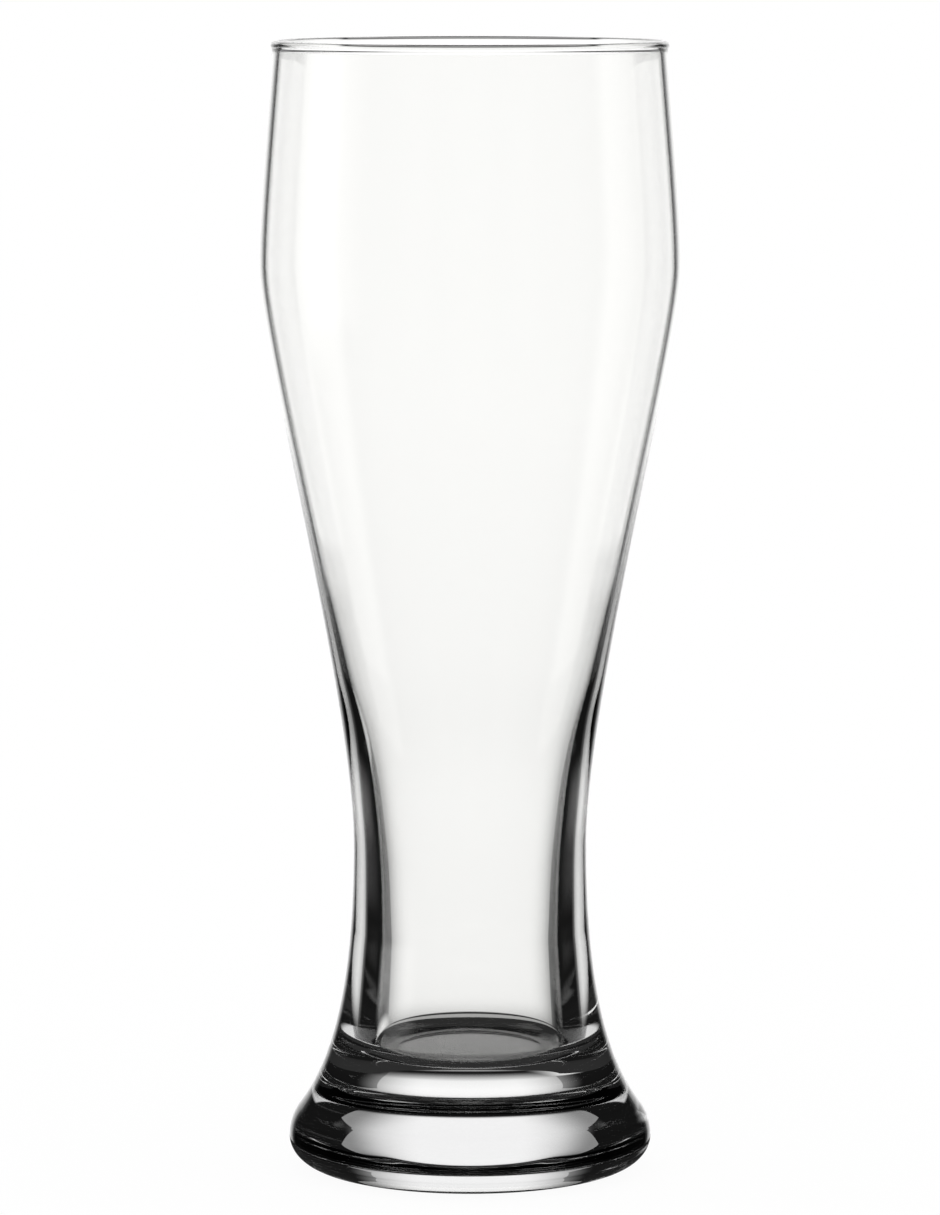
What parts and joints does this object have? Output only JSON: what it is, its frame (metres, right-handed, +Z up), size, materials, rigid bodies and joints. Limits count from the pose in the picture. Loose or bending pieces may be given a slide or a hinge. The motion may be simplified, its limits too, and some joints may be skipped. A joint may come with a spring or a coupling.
{
  "type": "wheat beer glass",
  "caption": "Tall clear wheat beer glass: thin blown bowl that swells near the top, thick narrow waist and a heavy solid foot to stand on.",
  "frame": {"origin": "middle of the foot, on the surface that the glass stands on", "axes": "+Z up along the axis of the glass, towards the lip; X and Y are free, because the glass is round"},
  "size_m": [0.082, 0.082, 0.22],
  "materials": {
    "bowl_glass": "clear fire-polished soda-lime glass",
    "foot_glass": "clear pressed soda-lime glass"
  },
  "bodies": {
    "root": {"bowl": "bowl_glass", "foot": "foot_glass"}
  },
  "joints": []
}
